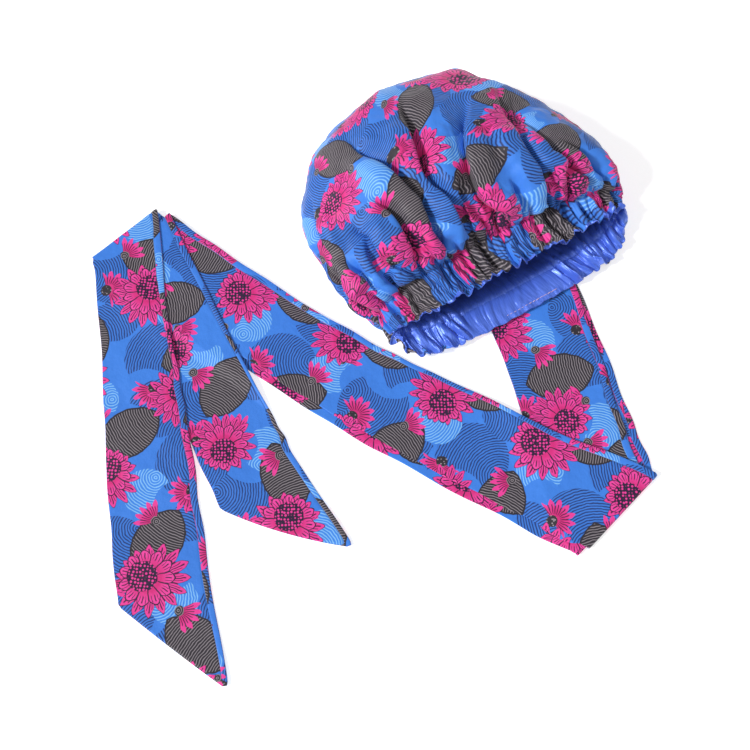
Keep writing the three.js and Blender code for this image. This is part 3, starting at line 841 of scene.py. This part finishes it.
def build_casing():
    cols = 1300
    outer = np.array([0.096, 0.090, 0.085, 0.078, 0.070, 0.062, 0.055, 0.048, 0.041, 0.034, 0.027, 0.021, 0.016, 0.012, 0.008, 0.005, 0.002, 0.0])
    inner = np.array([0.001, 0.004, 0.008, 0.012, 0.017, 0.023, 0.030, 0.037, 0.044, 0.051, 0.058, 0.066, 0.074, 0.084])
    side = np.array([1] * len(outer) + [-1] * len(inner))
    sq = np.concatenate([outer, inner])
    rows = len(sq)
    w = np.broadcast_to(np.arange(cols + 1) / cols, (rows, cols + 1))
    s = np.broadcast_to(sq[:, None], (rows, cols + 1))
    sd = np.broadcast_to(side[:, None], (rows, cols + 1))
    sl = slack(turn_of(w))
    fine, kf = G_FINE(w, s)
    inn, _ = G_IN(w, s)
    tiny, _ = G_TINY(w, s)
    edge_noise, frill, frill2 = ring(61, 12, 40), ring(62, 28, 60), ring(63, 110, 150)
    near = np.clip(1 - s / 0.03, 0, 1)
    lump, _ = G_EDGE(w, s)
    s_moved = s - near * (sl * 0.013 * (lump - 0.4) + (0.4 + 0.6 * sl) * 0.003 * edge_noise(w) + 0.012 * np.exp(-(((np.mod(turn_of(w), 360) - 216) / 20) ** 2)) + 0.010 * np.exp(-(((np.mod(turn_of(w), 360) - 306) / 10) ** 2)) - 0.017 * np.exp(-(((np.mod(turn_of(w), 360) - 335) / 8) ** 2)))
    base, n = plain(turn_of(w), s_moved), normals(w, np.maximum(s_moved, 0.0))
    out_off, slip = folded(w, s, base)
    in_off = np.minimum(inner_face(w, s) + np.clip((s - 0.077) / 0.008, 0, 1) * 1.3, out_off - 1.3)
    out_off = out_off - np.interp(s, [0, 0.084, 0.09, 0.096], [0, 0, 1.1, 2.0])
    off = np.where(sd > 0, out_off, in_off)
    ruffle = np.interp(s, [0, 0.01, 0.02, 0.035, 0.05], [2.9, 2.4, 1.3, 0.5, 0])
    off = off + sl * ruffle * (1.0 * frill(w) + 0.15 * frill2(w))
    P = base + n * off[..., None] + round_way(w, s) * slip[..., None]
    P[..., 2] = np.maximum(P[..., 2], 0.5)
    u, v = cloth_uv(np.broadcast_to(np.arange(cols + 1) / cols, (2, cols + 1)), np.broadcast_to(np.array([[0.24], [0.25]]), (2, cols + 1)), 0.25)
    along = -200.0 * s * sd
    uv = np.stack([u[1][None] * 1.22 + taken_up(P, base) + 61, np.where(sd > 0, 17 + 200 * (s - 0.084), 17 + 200 * (-0.084 - s))], -1) * MM
    closed = np.concatenate([uv, uv[:1] + [0, -0.001]], 0)
    vv, uu = grid_faces(rows, cols, wrap_rows=True, flip=True)
    turn = np.mod(turn_of(np.arange(cols) / cols), 360)
    rolled = np.interp(turn, [0, 8, 20, 34, 44, 56, 150, 172, 180, 345, 360], [0.022, 0.036, 0.034, 0.022, 0.008, 0.003, 0.003, 0.006, 0.004, 0.004, 0.022])
    q_b = rolled + (0.003 + 0.3 * rolled) * ring(64, 15, 50)(np.arange(cols) / cols)
    for centre, half, dip in ((222, 3, -0.016), (237, 3, -0.013), (340, 4, -0.016), (207, 4, -0.012)):
        q_b = np.where(np.abs(turn - centre) < half, dip * np.cos((turn - centre) / half * math.pi / 2), q_b)
    q = sq * side
    mid_q = (q + np.roll(q, -1)) / 2
    mid_q[-1] = -0.08
    index = np.where(mid_q[:, None] > q_b[None, :], 0, 1).ravel()
    ob = mesh_object("casing_gathers", P[:, :cols].reshape(-1, 3), vv.tolist(), closed.reshape(-1, 2)[uu].reshape(-1, 2), [PRINT, SATIN], index)
    return ob, (base, n, off)


# ---------------------------------------------------------------- the ties
# at, ax, ay, bx, by, z, over (None but at a turn)
TIE_LONG = [
    (104, 54, 184, 105, 2.2, None), (111, 37, 191, 84, 2.2, None), (133, -37, 221, -37, 2.2, None),
    (154, -100, 232, -77, 2.2, None), (175, -167, 238, -104, 2.2, 3.8), (169, -164, 130, -46, 3.8, None),
    (144, -151, 102, -30, 0.6, None), (100, -127, 53, -9, 0.6, None), (1, -72, -3, 20, 0.6, None),
    (-68, -29, -52, 51, 0.6, None), (-163, 38, -128, 102, 0.6, None), (-268, 115, -210, 167, 0.6, 5.4),
    (-265, 101, -191, 47, 5.4, None), (-257, 49, -181, 4, 2.3, None), (-247, -25, -174, -25, 2.3, None),
    (-242, -69, -164, -72, 2.3, None), (-238, -101, -157, -109, 0.6, None), (-230, -154, -148, -158, 0.6, None),
    (-220, -211, -121.5, -281.9, 0.6, None),
]
TIE_SHORT = [
    (106, 55, 186, 106, 0.6, None), (112, 37, 194, 84, 0.6, None), (141, -42, 231, -37, 0.6, None),
    (163, -104, 242, -72, 0.6, None), (184, -160, 249, -94, 0.6, 5.4), (164, -155, 125, -37, 5.4, None),
    (138, -138, 97, -20, 2.2, None), (103, -119, 57, -1, 2.2, None), (4, -64, 1, 29, 2.2, None),
    (-65, -22, -49, 59, 2.2, None), (-158, 41, -125, 111, 2.2, None), (-255, 103, -198, 164, 2.2, 3.8),
    (-249, 91, -108, -13, 3.8, None), (-235, 64, -94, -37, 0.6, None), (-165, -67, -74, -74, 0.6, None),
    (-149, -100, -50, -112, 0.6, None), (-136, -127, -16.1, -162.0, 0.6, None),
]
LIE = waves(71, 120, dims=2)
LIE2 = waves(72, 45, dims=2)


def lie(x, y):
    """How far the surface of the stacked cloth stands up at a place, mm: the same for all layers there."""
    p = np.stack([x, y], -1)
    h = 0.75 + 0.55 * LIE(p) + 0.22 * LIE2(p)
    under = np.clip((y - 0) / 40, 0, 1) * np.clip((x - 60) / 30, 0, 1)
    return np.clip(h, 0.05, 1.9) * (1 - 0.85 * under)


def tie(name, rows, offset, bow, step=3.0, steps=12):
    legs, leg = [], []
    for r in rows:
        leg.append(r)
        if r[5] is not None:
            legs.append(leg)
            leg = [(*r[:4], r[5], None)]
    legs.append(leg)
    A, B, Nn, dist, face, d0 = [], [], [], [], -1, 0.0
    M, T = np.eye(2), np.zeros(2)  # the leg's place on the unfolded cloth
    flat_m, flat_t, lift = [], [], []
    for li, leg in enumerate(legs):
        t = np.array([r[:5] for r in leg], float)
        mid = (t[:, :2] + t[:, 2:4]) / 2
        cum = np.concatenate([[0], np.cumsum(np.linalg.norm(np.diff(mid, axis=0), axis=1))])
        x = np.linspace(0, cum[-1], max(3, int(cum[-1] / step)))
        c = [curve(cum, t[:, k])(x) for k in range(4)]
        z = np.interp(x, cum, t[:, 4])
        A.append(np.stack([c[0], c[1], z], -1))
        B.append(np.stack([c[2], c[3], z], -1))
        Nn.append(np.tile([0, 0, face], (len(x), 1)))
        dist.append(d0 + x)
        flat_m += [M] * len(x)
        flat_t += [T] * len(x)
        lift.append(np.zeros((len(x), 3)))
        d0 += cum[-1]
        if li < len(legs) - 1:
            a, b = A[-1][-1], B[-1][-1]
            radius = (leg[-1][5] if leg[-1][5] else rows[[i for i, r in enumerate(rows) if r[:4] == leg[-1][:4]][0]][5]) - a[2]
            radius /= 2
            travel = mid[-1] - mid[-2]
            axis = (b - a) * [1, 1, 0]
            axis /= np.linalg.norm(axis)
            out = np.array([-axis[1], axis[0], 0.0])
            if out[:2] @ travel < 0:
                out = -out
            q = -math.pi / 2 + math.pi * np.arange(1, steps) / steps
            d = np.cos(q)[:, None] * out + np.sin(q)[:, None] * [0, 0, 1]
            shift = d * radius + [0, 0, radius]
            A.append(a + shift)
            B.append(b + shift)
            Nn.append(d * -face)
            dist.append(d0 + radius * (q + math.pi / 2))
            lift.append(shift)
            flat_m += [M] * len(q)
            flat_t += [T + radius * k * (M @ out[:2]) for k in q + math.pi / 2]
            turned = 2 * np.outer(axis[:2], axis[:2]) - np.eye(2)
            T = M @ (a[:2] - turned @ a[:2]) + T + radius * math.pi * (M @ out[:2])
            M = M @ turned
            d0 += radius * math.pi
            face = -face
    A, B, Nn, dist, lift = (np.concatenate(k) for k in (A, B, Nn, dist, lift))
    flat_m, flat_t = np.array(flat_m), np.array(flat_t)
    # the tip's corners are rounded
    width = np.linalg.norm(B - A, axis=1)
    end = dist[-1] - dist
    ins_b = np.where(end < 9, 9 - np.sqrt(np.maximum(81 - (9 - np.minimum(end, 9)) ** 2, 0)), 0) * 0.85
    ins_a = np.where(end < 4, 4 - np.sqrt(np.maximum(16 - (4 - np.minimum(end, 4)) ** 2, 0)), 0) * 0.8
    axis = (B - A) / width[:, None]
    B = B - axis * ins_b[:, None]
    A = A + axis * ins_a[:, None]
    # slight waves of both edges
    ea, eb = ring(81 + int(offset[0]), 9, 23), ring(82 + int(offset[0]), 9, 23)
    k = dist / dist[-1]
    A = A - axis * (0.7 * ea(k))[:, None]
    B = B + axis * (0.7 * eb(k))[:, None]
    width = np.linalg.norm(B - A, axis=1)
    half = 15
    edge = np.array([0, 0.35, 0.9, 1.8, 3.2, 5.2, 6.3, 6.9, 7.5, 8.3, 10.5])  # mm from edge B
    inner_t = np.linspace(0, 1, 22)
    prof = []  # for each point across: 0..1 share, or mm from an edge
    n_rows = len(dist)
    across = []
    for wdt in width:
        fa = np.array([0, 0.35, 0.9, 1.8, 3.5, 6.0])
        fb = wdt - edge[::-1]
        mid_part = np.linspace(6.0, wdt - 10.5, 18)[1:-1]
        across.append(np.concatenate([fa, mid_part, fb]))
    across = np.array(across)
    h0 = 0.6
    near = np.minimum(across, width[:, None] - across)
    round_ = np.sqrt(np.clip(1 - (1 - np.clip(near / 0.9, 0, 1)) ** 2, 0, 1))
    fromb = width[:, None] - across
    seam = np.exp(-(((fromb - 6.9) / 0.55) ** 2))
    ribbon = np.exp(-(((fromb - 3.4) / 2.4) ** 2))
    thick = h0 * round_ * (1 - 0.75 * seam + 0.30 * ribbon)
    centre = A[:, None] + axis[:, None] * across[..., None]
    # the cut end bows out by bow mm
    on = (A[-1] + B[-1] - A[-12] - B[-12]) * [1, 1, 0]
    out = np.array([-axis[-1, 1], axis[-1, 0], 0.0])
    out *= np.sign(out @ on)
    c = across / width[:, None]
    centre = centre + out * (bow * np.clip(1 - end / 45, 0, 1)[:, None] ** 2 * 4 * c * (1 - c))[..., None]
    top = centre + Nn[:, None] * thick[..., None]
    bot = centre - Nn[:, None] * thick[..., None]
    loop = np.concatenate([top, bot[:, ::-1][:, 1:-1]], 1)
    loop[..., 2] += lie(loop[..., 0], loop[..., 1])
    cols = loop.shape[1]
    # print coordinates: across on one side, on round the edge on the other, with a jump over the seam
    flat = np.einsum("rij,rcj->rci", flat_m, (centre - lift[:, None])[..., :2]) + flat_t[:, None]
    one = flat + [offset[0], offset[1]]
    two = flat * [-1, 1] + [offset[0] + 57, offset[1] + 49]
    jump = (fromb < 6.9)[..., None]
    one = one + np.where(jump, [41, 33], [0, 0])
    two = two + np.where(jump, [29, 51], [0, 0])
    uv = np.concatenate([one, two[:, ::-1][:, 1:-1], one[:, :1]], 1) * MM
    v, u = grid_faces(n_rows, cols)
    faces = v.tolist()
    uvs = [uv.reshape(-1, 2)[u].reshape(-1, 2)]
    # flat caps at the sewn end and the tip
    m1 = across.shape[1]
    for row, flip in ((0, True), (n_rows - 1, False)):
        o = row * cols
        ids = [[o + i, o + i + 1, o + (cols - i) % cols - 1 + 1 - 1 if False else o + (cols - i - 1) % cols, o + (cols - i) % cols] for i in range(m1 - 1)]
        for q in ids:
            q2 = []
            for x in q:
                if x not in q2:
                    q2.append(x)
            faces.append(q2[::-1] if flip else q2)
            uvs.append(np.array([uv[row, (x - o) % cols] for x in (q2[::-1] if flip else q2)]))
    return mesh_object(name, loop.reshape(-1, 3), faces, np.concatenate(uvs), [PRINT]), float(dist[-1]), float(width.mean())


cap = build_cap()
lining = build_lining()
casing, casing_grid = build_casing()
tie_long, len_long, wide_long = tie("tie_long_cloth", TIE_LONG, (12, 300), 0.8)
tie_short, len_short, wide_short = tie("tie_short_cloth", TIE_SHORT, (66, 940), 3.8)
print("ties", len_long, wide_long, len_short, wide_short)


def dashes(name, path, normal, length=3.0, gap=1.3, radius=0.28):
    """Thread stitches along a line: each a low arch that dives into the cloth at both ends."""
    seg = np.linalg.norm(np.diff(path, axis=0), axis=1)
    cum = np.concatenate([[0], np.cumsum(seg)])
    points, faces, uvs = [], [], []
    at = 0.5
    r = np.random.default_rng(3)
    while at + length < cum[-1]:
        ln = length * r.uniform(0.8, 1.15)
        t = np.linspace(0, 1, 7)
        x = at + ln * t
        p = np.stack([np.interp(x, cum, path[:, k]) for k in range(3)], -1)
        n = np.stack([np.interp(x, cum, normal[:, k]) for k in range(3)], -1)
        n /= np.linalg.norm(n, axis=1, keepdims=True)
        d = np.gradient(p, axis=0)
        d /= np.linalg.norm(d, axis=1, keepdims=True)
        sidev = np.cross(d, n)
        p = p + n * (0.45 * np.sin(np.pi * t) - 0.12)[:, None]
        o = len(points)
        for i in range(7):
            rad = radius * (0.55 + 0.45 * math.sin(math.pi * t[i]))
            for k in range(6):
                a = 2 * math.pi * k / 6
                points.append(p[i] + rad * (math.cos(a) * sidev[i] + math.sin(a) * n[i]))
        for i in range(6):
            for k in range(6):
                faces.append([o + i * 6 + k, o + (i + 1) * 6 + k, o + (i + 1) * 6 + (k + 1) % 6, o + i * 6 + (k + 1) % 6])
        faces.append([o + k for k in range(6)])
        faces.append([o + 36 + k for k in reversed(range(6))])
        at += ln + gap
    uvs = np.zeros((sum(len(f) for f in faces), 2))
    return mesh_object(name, points, faces, uvs, [THREAD])


base_c, n_c, off_c = casing_grid
col_of = lambda turn: int(round(np.interp((turn + 90) % 360 - 90 if turn < 270 else turn - 360, _t, _c) / RIM * (base_c.shape[1] - 1)))
row_in = 18 + 4
sel = np.unique([col_of(t) % base_c.shape[1] for t in np.linspace(266, 276, 160) if t < 270] + [])
left = [i for i in range(base_c.shape[1]) if 266.5 <= np.mod(turn_of(i / (base_c.shape[1] - 1)), 360) < 270]
right = [i for i in range(base_c.shape[1]) if 270 <= np.mod(turn_of(i / (base_c.shape[1] - 1)), 360) <= 276]
cols_sel = left + right
path = (base_c + n_c * off_c[..., None])[row_in][cols_sel]
nrm = -n_c[row_in][cols_sel]
stitches = dashes("tie_topstitch", path, nrm)

for piece, node, slot in (
    (cap, "print_cap", "print_cloth"),
    (lining, "satin_lining", "satin"),
    (casing, "elastic_casing", "print_cloth"),
    (tie_long, "tie_strap_long", "print_cloth"),
    (tie_short, "tie_strap_short", "print_cloth"),
):
    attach(piece, "root")
    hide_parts(node)
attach(stitches, "root")

for name, ob in (("cap", cap), ("lining", lining), ("casing", casing), ("long", tie_long), ("short", tie_short)):
    area = sum(p.area for p in ob.data.polygons)
    print(name, "area m2", round(area, 4), "faces", len(ob.data.polygons), "tris", sum(len(p.vertices) - 2 for p in ob.data.polygons))

for ob, length in ((tie_long, len_long), (tie_short, len_short)):
    one_layer = sum(q.area for q in ob.data.polygons) / 2
    round(one_layer / (length * MM) / 0.97, 4)
    length * MM

# ---------------------------------------------------------------- floor, light and camera
TARGET = Vector(SHIFT * MM)


def floor():
    me = bpy.data.meshes.new("floor")
    e = 6.0
    me.from_pydata([(-e, -e, -0.0004), (e, -e, -0.0004), (e, e, -0.0004), (-e, e, -0.0004)], [], [(0, 1, 2, 3)])
    ob = bpy.data.objects.new("floor", me)
    bpy.context.scene.collection.objects.link(ob)
    mat, tree, bsdf = principled("floor_paper")
    coord = tree.nodes.new("ShaderNodeTexCoord")
    f = noise(tree, S(tree, coord.outputs["Object"]), 30.0, 3.0)
    tree.links.new(mix(tree, f, (0.93, 0.93, 0.935), (0.95, 0.95, 0.95)).sock, bsdf.inputs["Base Color"])
    bsdf.inputs["Roughness"].default_value = 0.9
    bsdf.inputs["Specular IOR Level"].default_value = 0.1
    bsdf.inputs["Emission Color"].default_value = (1, 1, 1, 1)
    bsdf.inputs["Emission Strength"].default_value = 0.48
    me.materials.append(mat)


floor()


def sun(name, azimuth, elevation, strength, angle):
    """A soft far light that comes from that azimuth (0 is from -Y, 90 from +X) and elevation."""
    data = bpy.data.lights.new(name, "SUN")
    data.energy = strength
    data.angle = math.radians(angle)
    ob = bpy.data.objects.new(name, data)
    a, e = math.radians(azimuth), math.radians(elevation)
    way = Vector((math.sin(a) * math.cos(e), -math.cos(a) * math.cos(e), math.sin(e)))
    ob.rotation_euler = way.to_track_quat("Z", "Y").to_euler()
    ob.location = TARGET + way * 2
    bpy.context.scene.collection.objects.link(ob)


sun("key", -70, 40, 3.0, 10)
sun("fill", 25, 62, 0.5, 40)
world = bpy.data.worlds.new("studio")
bpy.context.scene.world = world
world.use_nodes = True
world.node_tree.nodes["Background"].inputs[0].default_value = (1, 1, 1, 1)
world.node_tree.nodes["Background"].inputs[1].default_value = 0.36
scene = bpy.context.scene
scene.view_settings.view_transform = "Standard"
scene.view_settings.look = "None"
scene.view_settings.exposure = 0.0

ELEV, DIST = math.radians(70), 1.05
cam = bpy.data.objects.new("camera", bpy.data.cameras.new("camera"))
cam.data.sensor_width = 36
cam.data.lens = 18 / (0.345 / 1.05)
cam.location = TARGET + Vector((0, -DIST * math.cos(ELEV), DIST * math.sin(ELEV)))
cam.rotation_euler = (math.radians(90) - ELEV, 0, 0)
scene.collection.objects.link(cam)
scene.camera = cam
